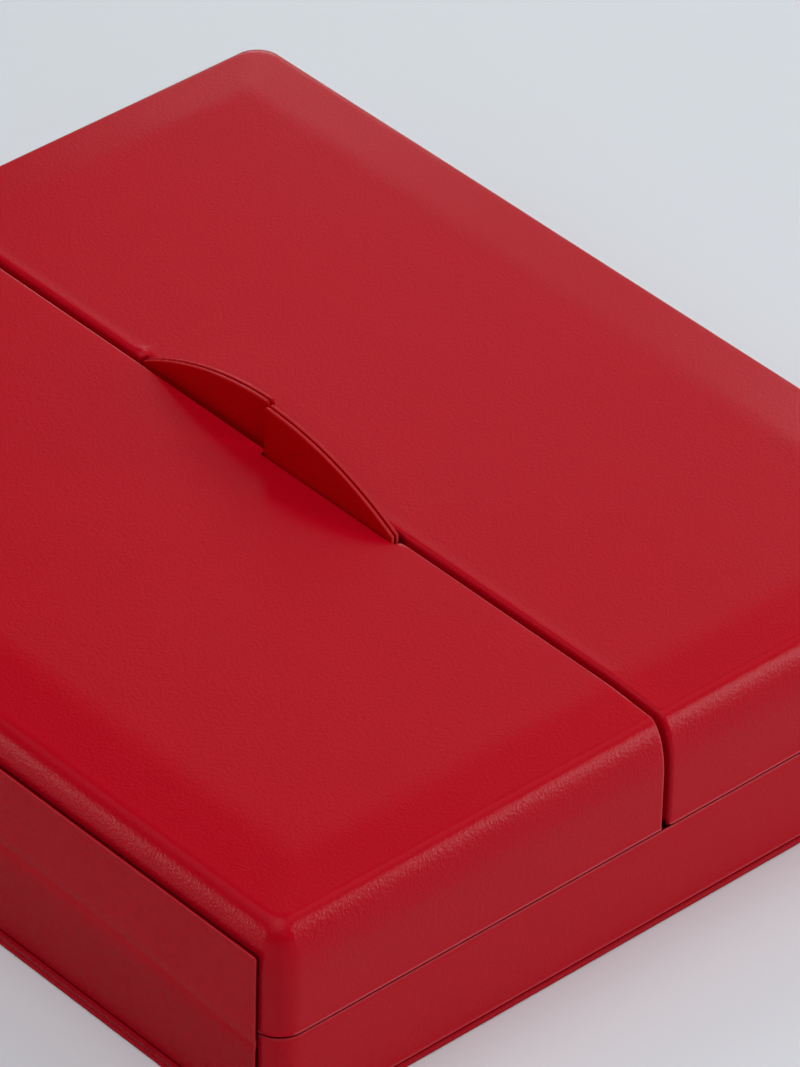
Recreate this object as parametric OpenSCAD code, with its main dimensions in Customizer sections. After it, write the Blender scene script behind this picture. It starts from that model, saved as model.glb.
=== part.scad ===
// Leather-covered necklace case with two half lids that open outwards.
// Length runs along Y, width along X. The seam between the lids is the plane X = 0.
// The underside of the base board rests on Z = 0.

/* [Case] */

// Outside length of the walls
case_length = 250; // [180:1:360]
// Outside width of the walls
case_width = 214; // [160:1:300]
// Height of the joint between base and lids
joint_height = 24.2; // [18:0.1:40]
// Height of the lids above the joint
lid_height = 28.1; // [24:0.1:45]
// Radius of the upright corners
corner_radius = 6; // [6:0.5:14]
// Thickness of the wooden walls
wall_thickness = 6; // [4:0.5:9]
// Thickness of the leather
leather_thickness = 0.8; // [0.5:0.1:1.2]

/* [Base] */

// Thickness of the leather-wrapped base board
board_thickness = 1.6; // [1.2:0.1:4]
// How far the base board sticks out past the end walls
board_lip = 1; // [0.4:0.1:4]
// How far the base board sticks out past the hinge panels
board_lip_side = 1.9; // [0.4:0.1:4]
// Thickness of the suede sheet let in under the base board
suede_thickness = 0.5; // [0.3:0.1:0.8]
// Width of the bare border round the suede sheet
suede_border = 9; // [5:0.5:20]
// Thickness of the floor board
floor_thickness = 3; // [2:0.5:5]
// Rounding of the rim where base and lids meet
rim_radius = 1; // [0.2:0.1:1.4]

/* [Lids] */

// How far in the outer top edges start to round off
top_edge_reach = 5.5; // [3:0.5:5.5]
// How far down the rounding of the outer top edges goes
top_edge_depth = 10; // [5:0.5:12]
// Height lost over the slope round the padded top
bevel_drop = 0.9; // [0.4:0.1:2]
// Width of the slope along the hinge sides, with the rounded edge
bevel_side = 20; // [14:1:30]
// Width of the slope along the ends, with the rounded edge
bevel_end = 17.5; // [14:0.5:30]
// Half the width over which the slope runs out into the flat
bevel_ease = 3; // [1:0.5:5]
// Gap between the two lids at the seam
seam_gap = 1.8; // [1:0.1:4]
// Rounding of the seam edges
seam_edge_radius = 0.8; // [0.3:0.1:0.8]
// Depth of the seam rail below the top
seam_rail_depth = 14; // [13:0.5:18]
// Thickness of the lid's top board
top_board_thickness = 4; // [3:0.5:6]
// Thickness of the padding in the middle of the lid
padding_thickness = 3; // [2.5:0.5:5]
// Thickness of the padded lining under the top board
lining_pad_thickness = 5; // [3:0.5:6]
// Height of the crown of the padded lining
lining_crown = 1.6; // [0.5:0.1:2]

/* [Pull tabs] */

// Length of the half moon made by the two tabs
tab_length = 84; // [50:1:120]
// Height of the half moon above the lids
tab_height = 11.5; // [6:0.5:20]
// Thickness of one tab
tab_thickness = 2.2; // [1.6:0.1:3]
// Thickness of the card inside the tab
tab_card_thickness = 0.4; // [0.2:0.1:0.6]
// How far the card stays back from the edge of the leaves
tab_card_setback = 0.8; // [0.4:0.1:1.5]
// Distance of the tab's inner face from the seam plane
tab_offset = 0.3; // [0.2:0.1:0.6]
// Distance of the tab's upright end from the middle of the seam
tab_end_gap = 1; // [0.5:0.1:3]
// Depth to which the tab is let into the seam edge
tab_root_depth = 11; // [6:0.5:12]
// Play round the tab in its notch
tab_notch_play = 0.6; // [0.3:0.1:1.5]
// Rounding of the notch's top edge
notch_edge_radius = 0.9; // [0.3:0.1:0.9]

/* [Hinge panels] */

// Thickness of a hinge panel
panel_thickness = 1.3; // [1:0.1:2.5]
// Thickness of the leather on the panel's card
panel_leather = 0.5; // [0.3:0.1:0.8]
// Distance of the panel's top edge below the lid's top
panel_drop = 7.9; // [7:0.1:12]
// Distance of the panel's ends from the end faces
panel_end_gap = 5.2; // [4:0.1:20]
// Gap between the panel's lower edge and the base board
panel_foot_gap = 0.3; // [0.2:0.1:2]

/* [Necklace pad] */

// Thickness of the velvet lining card on the base walls
lining_thickness = 1.2; // [0.8:0.1:2]
// Distance of the lining's top edge below the rim
lining_drop = 0.8; // [0.4:0.1:3]
// Play between the pad and the lining
pad_play = 0.5; // [0.3:0.1:1]
// Thickness of the pad's board
pad_board_thickness = 2.5; // [1.5:0.5:4]
// Thickness of the padded velvet field
pad_field_thickness = 6; // [4:0.5:8]
// Rounding of the field's edges
pad_edge_radius = 2.5; // [1:0.5:4]
// Diameter of the round neck form
neck_diameter = 128; // [90:1:140]
// Height of the neck form above the field
neck_height = 10; // [6:0.5:12]
// Rounding of the neck form's shoulder
neck_edge_radius = 7; // [4:0.5:10]
// Height of the neck form's crown
neck_crown = 2; // [0.5:0.5:4]
// Shift of the neck form towards the clasp end
neck_shift = 6; // [0:1:15]
// Least room left on the pad beside the neck form
neck_side_room = 8; // [4:1:20]
// Distance of the neck form's top below the rim
neck_rim_gap = 1; // [0.5:0.5:4]
// Distance of each chain hook from the middle
hook_spread = 13; // [8:1:30]
// Distance of the hooks from the neck form
hook_gap = 12; // [8:1:24]
// Thickness of the hook's wire
hook_wire = 1.4; // [1:0.1:2]
// Height of the hook's stem above the field
hook_rise = 3; // [2:0.5:5]
// Radius of the hook's bend
hook_bend = 2.4; // [1.8:0.2:4]
// Length of the hook's straight tip
hook_tip = 1.4; // [0.6:0.2:2]
// Width of the ribbon pull
ribbon_width = 10; // [6:1:16]
// Thickness of the ribbon
ribbon_thickness = 0.8; // [0.4:0.1:1]
// Outer radius of the ribbon's loop
ribbon_bow = 3.6; // [2.4:0.2:5]
// Distance of the ribbon from the edge of the pad
ribbon_inset = 9; // [5:0.5:15]

/* [Magnets] */

// Diameter of a closing magnet
magnet_diameter = 4; // [3:0.5:4]
// Thickness of a closing magnet
magnet_thickness = 2; // [1:0.5:3]
// Distance of the magnets from the seam
magnet_inset = 9; // [7:0.5:20]

/* [Hidden] */

$fn = 96;

half_length = case_length / 2;
half_width = case_width / 2;
top = joint_height + lid_height;
seam = -seam_gap / 2;
skin = leather_thickness;
inner_x = half_width - skin - wall_thickness;
inner_y = half_length - skin - wall_thickness;
magnet_y = inner_y + wall_thickness / 2;

// Edge of the lid, shared by all its layers: a quarter ellipse up to the corner's centre line,
// then a shallow slope that eases out into the flat top
corner = max(corner_radius, top_edge_reach + 0.5);
edge_top = top - bevel_drop;
edge_z = edge_top - top_edge_depth;

// Levels inside the lid
board_top = top - skin - padding_thickness;
ceiling = board_top - top_board_thickness;
rail_bottom = top - seam_rail_depth;
rail_x = seam - skin - wall_thickness;

// Levels inside the base
floor_top = board_thickness + floor_thickness;
pad_board_top = floor_top + pad_board_thickness;
field_top = pad_board_top + pad_field_thickness;
pad_x = inner_x - lining_thickness - pad_play;
pad_y = inner_y - lining_thickness - pad_play;
neck_radius = min(neck_diameter / 2, pad_x - neck_side_room);
hook_y = min(neck_shift + neck_radius + hook_gap, pad_y - hook_gap);
ribbon_y = -pad_y + ribbon_inset;

// Pull tab: its curved edge is part of a circle round a centre below the lid's top
tab_radius = (pow(tab_length / 2, 2) + tab_height * tab_height) / (2 * tab_height);
tab_z = top + tab_height - tab_radius;
tab_back = tab_offset + tab_thickness;
tab_bottom = top - tab_root_depth;
leaf_thickness = (tab_thickness - tab_card_thickness) / 2;

// Hinge panel
panel_top = top - panel_drop;
panel_y = half_length - panel_end_gap;
panel_bottom = board_thickness + panel_foot_gap;

leather_red = [0.62, 0.03, 0.06];
wood_tan = [0.78, 0.62, 0.42];
card_grey = [0.6, 0.58, 0.55];
velvet_cream = [0.9, 0.86, 0.78];
satin_cream = [0.93, 0.9, 0.84];
foam_white = [0.92, 0.92, 0.88];
suede_dark = [0.35, 0.05, 0.07];
brass = [0.8, 0.62, 0.25];
steel = [0.7, 0.7, 0.72];

// Drawing aids

// Points on a circle's arc, from one angle to another
function arc(x, z, r, from, to, steps) =
    [for (i = [0:steps]) let (a = from + (to - from) * i / steps) [x + r * cos(a), z + r * sin(a)]];

// Outer edge of a lid as points: across is the distance from the outer face, and `inset` draws it in
function edge_points(inset, low, foot) = concat(
    foot > 0 ? arc(inset + foot, low + foot, foot, 270, 180, 4) : [[inset, low]],
    [for (a = [0:6:84]) [
        top_edge_reach - (top_edge_reach - inset) * cos(a),
        edge_z + (top_edge_depth - inset) * sin(a)
    ]],
    [[corner, edge_top - inset]]
);

// Slope of the padded top from the rounded edge to the flat, `wide` from the outer face
function slope_points(wide, inset) =
    let (full = max(wide, corner + bevel_ease + 2))
    let (fall = bevel_drop / (full - corner))
    [for (i = [0:6])
        let (x = full + bevel_ease * (i / 3 - 1))
        [x, top - inset - fall * pow(full + bevel_ease - x, 2) / (4 * bevel_ease)]];

// The seam side of a lid, from its top edge to its foot
function seam_points(inset, low, foot) = concat(
    seam_edge_radius - inset > 0.05
        ? arc(seam - seam_edge_radius, top - seam_edge_radius, seam_edge_radius - inset, 90, 0, 4)
        : [[seam - inset, top - inset]],
    foot > 0 ? arc(seam - inset - foot, low + foot, foot, 0, -90, 4) : [[seam - inset, low]]
);

// Cross-section of a lid from its outer side to the seam
module lid_side_section(inset, low, foot) {
    near = concat(edge_points(inset, low, foot), slope_points(bevel_side, inset));
    polygon(concat([for (p = near) [p[0] - half_width, p[1]]], seam_points(inset, low, foot)));
}

// Cross-section of a lid from end to end
module lid_end_section(inset, low, foot) {
    near = concat(edge_points(inset, low, foot), slope_points(bevel_end, inset));
    last = len(near) - 1;
    polygon(concat(
        [for (p = near) [p[0] - half_length, p[1]]],
        [for (i = [last:-1:0]) [half_length - near[i][0], near[i][1]]]
    ));
}

// Cross-section that turns round an upright corner
module corner_section(inset, low, foot) {
    polygon(concat([for (p = edge_points(inset, low, foot)) [corner - p[0], p[1]]], [[0, low]]));
}

// Outer form of the left lid, drawn in by `inset`
module lid_form(inset, low, foot) {
    difference() {
        intersection() {
            rotate([90, 0, 0]) linear_extrude(height = case_length - 2 * inset, center = true)
                lid_side_section(inset, low, foot);
            translate([-half_width, 0, 0]) rotate([90, 0, 90]) linear_extrude(height = half_width)
                lid_end_section(inset, low, foot);
        }
        for (side = [-1, 1]) {
            translate([-half_width, side * half_length, top])
                cube([2 * corner, 2 * corner, 4 * top], center = true);
        }
    }
    for (turn = [0, 1]) {
        mirror([0, turn, 0]) translate([-half_width + corner, -half_length + corner, 0])
            rotate([0, 0, 180]) rotate_extrude(angle = 90) corner_section(inset, low, foot);
    }
}

// Notch in the seam edge that takes the tab
module tab_notch(inset) {
    start = -tab_length / 2 - tab_notch_play - inset;
    finish = -tab_end_gap + tab_notch_play + inset;
    translate([-tab_back - inset, start, tab_bottom - inset])
        cube([tab_back + inset, finish - start, tab_root_depth + inset + 1]);
    if (inset == 0) {
        difference() {
            translate([-tab_back - notch_edge_radius, start, top - notch_edge_radius])
                cube([notch_edge_radius + 0.1, finish - start, notch_edge_radius + 1]);
            translate([-tab_back - notch_edge_radius, start - 1, top - notch_edge_radius])
                rotate([-90, 0, 0]) cylinder(r = notch_edge_radius, h = finish - start + 2);
        }
    }
}

// Hollow of the left lid, down to the rail's lower face at `rail`
module lid_hollow(rail) {
    translate([-inner_x, -inner_y, joint_height - 1])
        cube([inner_x + rail_x, 2 * inner_y, ceiling - joint_height + 1]);
    translate([-inner_x, -inner_y, joint_height - 1])
        cube([inner_x + 1, 2 * inner_y, rail - joint_height + 1]);
}

// All the wood of the left lid in one piece, before it is parted
module lid_wood() {
    difference() {
        intersection() {
            lid_form(skin, joint_height + skin, 0);
            translate([-case_width, -case_length, 0]) cube([case_width, 2 * case_length, board_top]);
        }
        tab_notch(skin);
        lid_hollow(rail_bottom + skin);
    }
}

// Everything below the top board
module below_ceiling() {
    translate([-case_width, -case_length, -1]) cube([2 * case_width, 2 * case_length, ceiling + 1]);
}

// Rounded rectangle standing on `low`, drawn in by `inset`
module wall_block(inset, low, high) {
    x = half_width - corner;
    y = half_length - corner;
    r = corner - inset;
    translate([-x - r, -y, low]) cube([2 * (x + r), 2 * y, high - low]);
    translate([-x, -y - r, low]) cube([2 * x, 2 * (y + r), high - low]);
    for (i = [-1, 1]) {
        for (j = [-1, 1]) {
            translate([i * x, j * y, low]) cylinder(r = r, h = high - low);
        }
    }
}

// Flat rounded rectangle with a half-round edge
module bullnose_board(x, y, r, thick) {
    nose = thick / 2;
    cx = x - r;
    cy = y - r;
    translate([-x + nose, -cy, 0]) cube([2 * (x - nose), 2 * cy, thick]);
    translate([-cx, -y + nose, 0]) cube([2 * cx, 2 * (y - nose), thick]);
    for (i = [-1, 1]) {
        translate([i * (x - nose), -cy, nose]) rotate([-90, 0, 0]) cylinder(r = nose, h = 2 * cy);
        translate([-cx, i * (y - nose), nose]) rotate([0, 90, 0]) cylinder(r = nose, h = 2 * cx);
    }
    for (turn = [0, 90, 180, 270]) {
        sx = turn == 0 || turn == 270 ? 1 : -1;
        sy = turn == 0 || turn == 90 ? 1 : -1;
        translate([sx * cx, sy * cy, 0]) rotate([0, 0, turn]) rotate_extrude(angle = 90) {
            square([r - nose, thick]);
            intersection() {
                translate([r - nose, nose]) circle(r = nose);
                translate([r - nose, 0]) square([nose, thick]);
            }
        }
    }
}

// Turns a left-hand piece into the right-hand one
module opposite() {
    rotate([0, 0, 180]) children();
}

// Base

module base_board() {
    color(leather_red) difference() {
        bullnose_board(half_width + panel_thickness + board_lip_side, half_length + board_lip,
            corner + board_lip, board_thickness);
        translate([-half_width + suede_border, -half_length + suede_border, -1])
            cube([case_width - 2 * suede_border, case_length - 2 * suede_border, suede_thickness + 1]);
    }
}

module base_suede() {
    color(suede_dark) translate([-half_width + suede_border, -half_length + suede_border, 0])
        cube([case_width - 2 * suede_border, case_length - 2 * suede_border, suede_thickness]);
}

module base_leather() {
    color(leather_red) difference() {
        rim_form();
        wall_block(skin, board_thickness - 1, joint_height - skin);
        translate([-inner_x, -inner_y, 0]) cube([2 * inner_x, 2 * inner_y, joint_height + 1]);
    }
}

// Half of the base's cross-section, from the middle to the rounded rim
module rim_section(half) {
    r = rim_radius;
    translate([0, board_thickness]) square([half, joint_height - r - board_thickness]);
    translate([0, joint_height - 2 * r]) square([half - r, 2 * r]);
    translate([half - r, joint_height - r]) circle(r = r);
}

// Outer form of the base walls with a rounding along the top
module rim_form() {
    r = corner;
    difference() {
        intersection() {
            rotate([90, 0, 0]) linear_extrude(height = case_length, center = true) {
                rim_section(half_width);
                mirror([1, 0]) rim_section(half_width);
            }
            rotate([90, 0, 90]) linear_extrude(height = case_width, center = true) {
                rim_section(half_length);
                mirror([1, 0]) rim_section(half_length);
            }
        }
        for (i = [-1, 1]) {
            for (j = [-1, 1]) {
                translate([i * half_width, j * half_length, 0])
                    cube([2 * r, 2 * r, 4 * joint_height], center = true);
            }
        }
    }
    for (i = [0, 1]) {
        for (j = [0, 1]) {
            mirror([i, 0, 0]) mirror([0, j, 0]) translate([half_width - r, half_length - r, 0])
                rotate_extrude(angle = 90) rim_section(r);
        }
    }
}

// Wooden frame of the base, before it is parted into walls
module base_frame() {
    difference() {
        wall_block(skin, board_thickness, joint_height - skin);
        translate([-inner_x, -inner_y, 0]) cube([2 * inner_x, 2 * inner_y, joint_height]);
    }
}

// Room taken by the two long walls, with the lap at each corner
module long_wall_room() {
    lap_y = inner_y + wall_thickness / 2;
    for (i = [-1, 1]) {
        translate([i * (inner_x + case_width / 2), 0, joint_height])
            cube([case_width, 2 * lap_y, 4 * top], center = true);
    }
}

module base_side_walls() {
    color(wood_tan) intersection() {
        base_frame();
        long_wall_room();
    }
}

module base_end_walls() {
    color(wood_tan) difference() {
        base_frame();
        long_wall_room();
        base_magnets();
    }
}

module base_floor() {
    color(wood_tan) translate([-inner_x, -inner_y, board_thickness])
        cube([2 * inner_x, 2 * inner_y, floor_thickness]);
}

module base_lining() {
    high = joint_height - lining_drop - floor_top;
    color(velvet_cream) difference() {
        translate([-inner_x, -inner_y, floor_top]) cube([2 * inner_x, 2 * inner_y, high]);
        translate([-inner_x + lining_thickness, -inner_y + lining_thickness, floor_top - 1])
            cube([2 * (inner_x - lining_thickness), 2 * (inner_y - lining_thickness), high + 2]);
    }
}

module base_magnets() {
    color(steel) for (i = [-1, 1]) {
        for (j = [-1, 1]) {
            translate([i * magnet_inset, j * magnet_y, joint_height - skin - magnet_thickness])
                cylinder(d = magnet_diameter, h = magnet_thickness);
        }
    }
}

// Necklace pad

module pad_board() {
    color(card_grey) translate([-pad_x, -pad_y, floor_top])
        cube([2 * pad_x, 2 * pad_y, pad_board_thickness]);
}

// Cross-section of the field: upright sides with rounded shoulders
module field_section(half) {
    r = pad_edge_radius;
    translate([-half, 0]) square([2 * half, pad_field_thickness - r]);
    translate([-half + r, 0]) square([2 * (half - r), pad_field_thickness]);
    for (i = [-1, 1]) {
        translate([i * (half - r), pad_field_thickness - r]) circle(r = r);
    }
}

module pad_field() {
    color(velvet_cream) difference() {
        intersection() {
            translate([0, 0, pad_board_top]) rotate([90, 0, 0])
                linear_extrude(height = 2 * pad_y, center = true) field_section(pad_x);
            translate([0, 0, pad_board_top]) rotate([90, 0, 90])
                linear_extrude(height = 2 * pad_x, center = true) field_section(pad_y);
        }
        hook_holes();
        ribbon_room();
    }
}

// Domed disc that the necklace lies around
module neck_form() {
    // the crown is the cap of a large ball, and the shoulder rounds off what is left below it
    high = min(neck_height, joint_height - neck_rim_gap - field_top);
    crown_high = min(neck_crown, high / 2);
    shoulder = high - crown_high;
    r = min(neck_edge_radius, shoulder);
    reach = neck_radius - r;
    ball = (reach * reach + crown_high * crown_high) / (2 * crown_high);
    color(velvet_cream) translate([0, neck_shift, field_top]) rotate_extrude($fn = 144) {
        polygon(concat(
            [[0, 0]],
            shoulder - r > 0.01 ? [[neck_radius, 0]] : [],
            arc(reach, shoulder - r, r, 0, 90, 16),
            [for (i = [1:16]) let (x = reach * (1 - i / 16)) [x, high - ball + sqrt(ball * ball - x * x)]]
        ));
    }
}

// Holes in the field through which the hooks' stems go down to the pad's board
module hook_holes() {
    for (i = [-1, 1]) {
        translate([i * hook_spread, hook_y, pad_board_top - 1])
            cylinder(d = hook_wire, h = pad_field_thickness + 2);
    }
}

// Bent wire hooks that hold the ends of the chain
module chain_hooks() {
    stem = pad_field_thickness + hook_rise;
    color(brass) for (i = [-1, 1]) {
        translate([i * hook_spread, hook_y, pad_board_top]) {
            cylinder(d = hook_wire, h = stem);
            translate([0, hook_bend, stem]) rotate([0, 90, 0]) rotate([0, 0, 90])
                rotate_extrude(angle = 180) translate([hook_bend, 0]) circle(d = hook_wire);
            translate([0, 2 * hook_bend, stem - hook_tip]) {
                cylinder(d = hook_wire, h = hook_tip);
                sphere(d = hook_wire);
            }
        }
    }
}

// Slot through which the ribbon comes up out of the pad
module ribbon_room() {
    translate([-ribbon_width / 2, ribbon_y, pad_board_top - 1])
        cube([ribbon_width, ribbon_thickness, pad_field_thickness + 2]);
}

// Loop of ribbon that lifts the pad out
module ribbon_pull() {
    leg = ribbon_thickness;
    color(satin_cream) translate([-ribbon_width / 2, ribbon_y, pad_board_top]) {
        cube([ribbon_width, ribbon_thickness, pad_field_thickness + leg]);
        translate([0, 2 * ribbon_bow - ribbon_thickness, pad_field_thickness])
            cube([ribbon_width, ribbon_thickness, leg]);
        translate([0, ribbon_bow, pad_field_thickness + leg]) rotate([0, 90, 0]) rotate([0, 0, 90])
            rotate_extrude(angle = 180) translate([ribbon_bow - ribbon_thickness, 0])
                square([ribbon_thickness, ribbon_width]);
    }
}

// Hinge panels

// Block of a hinge panel on the left wall, from `low` to `high`, its leather added with `grow`
module panel_block(low, high, grow) {
    translate([-half_width - panel_thickness + panel_leather - grow, -panel_y + panel_leather - grow, low])
        cube([panel_thickness - panel_leather + grow, 2 * (panel_y - panel_leather + grow), high - low]);
}

module lower_hinge_card_left() {
    color(card_grey) panel_block(panel_bottom + panel_leather, joint_height - panel_leather, 0);
}

module lower_hinge_leather_left() {
    color(leather_red) difference() {
        panel_block(panel_bottom, joint_height, panel_leather);
        lower_hinge_card_left();
    }
}

module upper_hinge_card_left() {
    color(card_grey) panel_block(joint_height + panel_leather, panel_top - panel_leather, 0);
}

module upper_hinge_leather_left() {
    color(leather_red) difference() {
        panel_block(joint_height, panel_top, panel_leather);
        upper_hinge_card_left();
    }
}

// Left lid

module lid_side_wall_left() {
    color(wood_tan) intersection() {
        lid_wood();
        below_ceiling();
        long_wall_room();
    }
}

// Room of the rail along the seam, between the end walls
module rail_room() {
    translate([rail_x, -inner_y, rail_bottom + skin])
        cube([wall_thickness, 2 * inner_y, ceiling - rail_bottom - skin]);
}

module seam_rail_left() {
    color(wood_tan) difference() {
        rail_room();
        tab_notch(skin);
    }
}

module lid_end_walls_left() {
    color(wood_tan) difference() {
        intersection() {
            lid_wood();
            below_ceiling();
        }
        long_wall_room();
        rail_room();
        lid_magnets_left();
    }
}

module lid_top_board_left() {
    color(wood_tan) difference() {
        lid_wood();
        below_ceiling();
    }
}

module lid_padding_left() {
    color(foam_white) difference() {
        lid_form(skin, joint_height + skin, 0);
        translate([-case_width, -case_length, -1]) cube([2 * case_width, 2 * case_length, board_top + 1]);
        tab_notch(skin);
    }
}

module lid_leather_left() {
    color(leather_red) difference() {
        lid_form(0, joint_height, rim_radius);
        lid_form_wrapped();
        tab_notch(0);
        lid_hollow(rail_bottom);
        seam_corner_cuts();
    }
}

// Rounds the upright edges where the seam meets the end faces
module seam_corner_cuts() {
    r = seam_edge_radius;
    for (side = [-1, 1]) {
        difference() {
            translate([seam, side * half_length, top]) cube([2 * r, 2 * r, 4 * top], center = true);
            translate([seam - r, side * (half_length - r), 0]) cylinder(r = r, h = 2 * top);
        }
    }
}

// What the leather is drawn over: the wood, the padding and the backing of the notch
module lid_form_wrapped() {
    difference() {
        lid_form(skin, joint_height + skin, 0);
        tab_notch(skin);
        translate([rail_x, -inner_y, joint_height])
            cube([-rail_x, 2 * inner_y, rail_bottom + skin - joint_height]);
    }
}

module lid_wall_lining_left() {
    low = joint_height + skin;
    color(satin_cream) difference() {
        translate([-inner_x, -inner_y, low]) cube([inner_x + rail_x, 2 * inner_y, ceiling - low]);
        translate([-inner_x + lining_thickness, -inner_y + lining_thickness, low - 1])
            cube([inner_x + rail_x, 2 * (inner_y - lining_thickness), ceiling - low + 2]);
    }
}

// Half of the padded lining's cross-section, hanging from 0 with its crown downwards
function lining_points(half) =
    let (r = lining_pad_thickness - lining_crown)
    let (reach = half - r)
    let (ball = (reach * reach + lining_crown * lining_crown) / (2 * lining_crown))
    let (rise = asin(reach / ball))
    concat(
        arc(reach, 0, r, 0, -90, 6),
        arc(0, ball - lining_pad_thickness, ball, rise - 90, -90, 12)
    );

// Cross-section of the padded lining
module lining_section(half) {
    near = lining_points(half);
    polygon(concat(near, [for (i = [len(near) - 1:-1:0]) [-near[i][0], near[i][1]]]));
}

module lid_lining_pad_left() {
    low_x = -inner_x + lining_thickness + pad_play;
    high_x = rail_x - pad_play;
    color(satin_cream) intersection() {
        translate([(low_x + high_x) / 2, 0, ceiling]) rotate([90, 0, 0])
            linear_extrude(height = 2 * pad_y, center = true) lining_section((high_x - low_x) / 2);
        translate([(low_x + high_x) / 2, 0, ceiling]) rotate([90, 0, 90])
            linear_extrude(height = high_x - low_x, center = true) lining_section(pad_y);
    }
}

module lid_magnets_left() {
    color(steel) for (j = [-1, 1]) {
        translate([-magnet_inset, j * magnet_y, joint_height + skin])
            cylinder(d = magnet_diameter, h = magnet_thickness);
    }
}

// Side view of the tab, drawn in by `back` on every side
module tab_section(back) {
    intersection() {
        translate([0, tab_z]) circle(r = tab_radius - back, $fn = 360);
        translate([-tab_length / 2 + back, tab_bottom + back])
            square([tab_length / 2 - tab_end_gap - 2 * back, tab_root_depth + tab_height]);
    }
}

// One layer of the tab, from x = `near`
module tab_slice(back, near, thick) {
    translate([near, 0, 0]) rotate([90, 0, 90]) linear_extrude(height = thick) tab_section(back);
}

module tab_front_leaf_left() {
    color(leather_red) tab_slice(0, -tab_back, leaf_thickness);
}

module tab_card_left() {
    color(card_grey) tab_slice(tab_card_setback, -tab_back + leaf_thickness, tab_card_thickness);
}

module tab_back_leaf_left() {
    color(leather_red) tab_slice(0, -tab_offset - leaf_thickness, leaf_thickness);
}

// Right-hand pieces, the same as the left ones turned half a turn about Z

module lower_hinge_card_right() {
    opposite() lower_hinge_card_left();
}

module lower_hinge_leather_right() {
    opposite() lower_hinge_leather_left();
}

module upper_hinge_card_right() {
    opposite() upper_hinge_card_left();
}

module upper_hinge_leather_right() {
    opposite() upper_hinge_leather_left();
}

module lid_side_wall_right() {
    opposite() lid_side_wall_left();
}

module seam_rail_right() {
    opposite() seam_rail_left();
}

module lid_end_walls_right() {
    opposite() lid_end_walls_left();
}

module lid_top_board_right() {
    opposite() lid_top_board_left();
}

module lid_padding_right() {
    opposite() lid_padding_left();
}

module lid_leather_right() {
    opposite() lid_leather_left();
}

module lid_wall_lining_right() {
    opposite() lid_wall_lining_left();
}

module lid_lining_pad_right() {
    opposite() lid_lining_pad_left();
}

module lid_magnets_right() {
    opposite() lid_magnets_left();
}

module tab_front_leaf_right() {
    opposite() tab_front_leaf_left();
}

module tab_card_right() {
    opposite() tab_card_left();
}

module tab_back_leaf_right() {
    opposite() tab_back_leaf_left();
}

// Assembly

base_board();
base_suede();
base_leather();
base_side_walls();
base_end_walls();
base_floor();
base_lining();
base_magnets();
pad_board();
pad_field();
neck_form();
chain_hooks();
ribbon_pull();
lower_hinge_card_left();
lower_hinge_leather_left();
lower_hinge_card_right();
lower_hinge_leather_right();
lid_side_wall_left();
lid_end_walls_left();
seam_rail_left();
lid_top_board_left();
lid_padding_left();
lid_leather_left();
lid_wall_lining_left();
lid_lining_pad_left();
lid_magnets_left();
upper_hinge_card_left();
upper_hinge_leather_left();
tab_card_left();
tab_front_leaf_left();
tab_back_leaf_left();
lid_side_wall_right();
lid_end_walls_right();
seam_rail_right();
lid_top_board_right();
lid_padding_right();
lid_leather_right();
lid_wall_lining_right();
lid_lining_pad_right();
lid_magnets_right();
upper_hinge_card_right();
upper_hinge_leather_right();
tab_card_right();
tab_front_leaf_right();
tab_back_leaf_right();
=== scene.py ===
"""Looks of the leather-covered necklace case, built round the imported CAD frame.

Shapes are worked out in millimetres and turned into metres when a mesh is made.
The left lid is built first; the right one is the same shape turned half a turn about Z.
"""

import math

import bmesh
import bpy
import numpy as np
from mathutils import Matrix, Vector, noise


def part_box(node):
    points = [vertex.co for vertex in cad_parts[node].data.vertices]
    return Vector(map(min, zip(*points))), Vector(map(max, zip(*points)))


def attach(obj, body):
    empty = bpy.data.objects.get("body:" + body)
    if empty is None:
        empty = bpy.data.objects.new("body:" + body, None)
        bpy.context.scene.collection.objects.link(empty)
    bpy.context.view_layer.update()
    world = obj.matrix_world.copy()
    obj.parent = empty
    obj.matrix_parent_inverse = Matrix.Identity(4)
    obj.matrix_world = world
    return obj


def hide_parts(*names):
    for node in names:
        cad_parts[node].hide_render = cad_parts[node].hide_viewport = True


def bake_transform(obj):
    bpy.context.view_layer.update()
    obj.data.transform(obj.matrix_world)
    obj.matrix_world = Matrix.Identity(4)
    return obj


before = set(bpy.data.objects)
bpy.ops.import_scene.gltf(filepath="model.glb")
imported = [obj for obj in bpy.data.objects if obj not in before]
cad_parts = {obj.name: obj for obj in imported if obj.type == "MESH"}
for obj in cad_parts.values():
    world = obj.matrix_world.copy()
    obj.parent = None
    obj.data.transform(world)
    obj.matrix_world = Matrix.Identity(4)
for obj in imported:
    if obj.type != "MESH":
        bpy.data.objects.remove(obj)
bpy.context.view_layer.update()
MM = 0.001


def box_mm(node):
    """Lowest and highest corners of a CAD node, in millimetres."""
    low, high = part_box(node)
    return np.array(low) / MM, np.array(high) / MM


# Sizes that the frame's boxes don't give, in millimetres

CORNER = 6.6
EDGE_REACH = 5.3
EDGE_DEPTH = 13.0
BEVEL_DROP = 0.9
BEVEL_SIDE = 20.0
BEVEL_END = 17.5
BEVEL_EASE = 3.0
WALL = 6.8
TURN_IN = 0.3
FOOT_GAP = 0.22
FOOT_ROUND = 0.25
FOOT_BEAD = 0.12
RIM_DEPTH = 2.4
RAIL_DEPTH = 14.0
RAIL_ROUND = 0.8
NOTCH_LEDGE = 41.3
TAB_REACH = 42.0
CARD_GAP = 0.4
BOARD_STEP = 0.4
HOOK_WIRE = 1.4
SAME_POINT = 0.002
SAME_ROW = 0.08

# Sizes read from the frame

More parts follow.
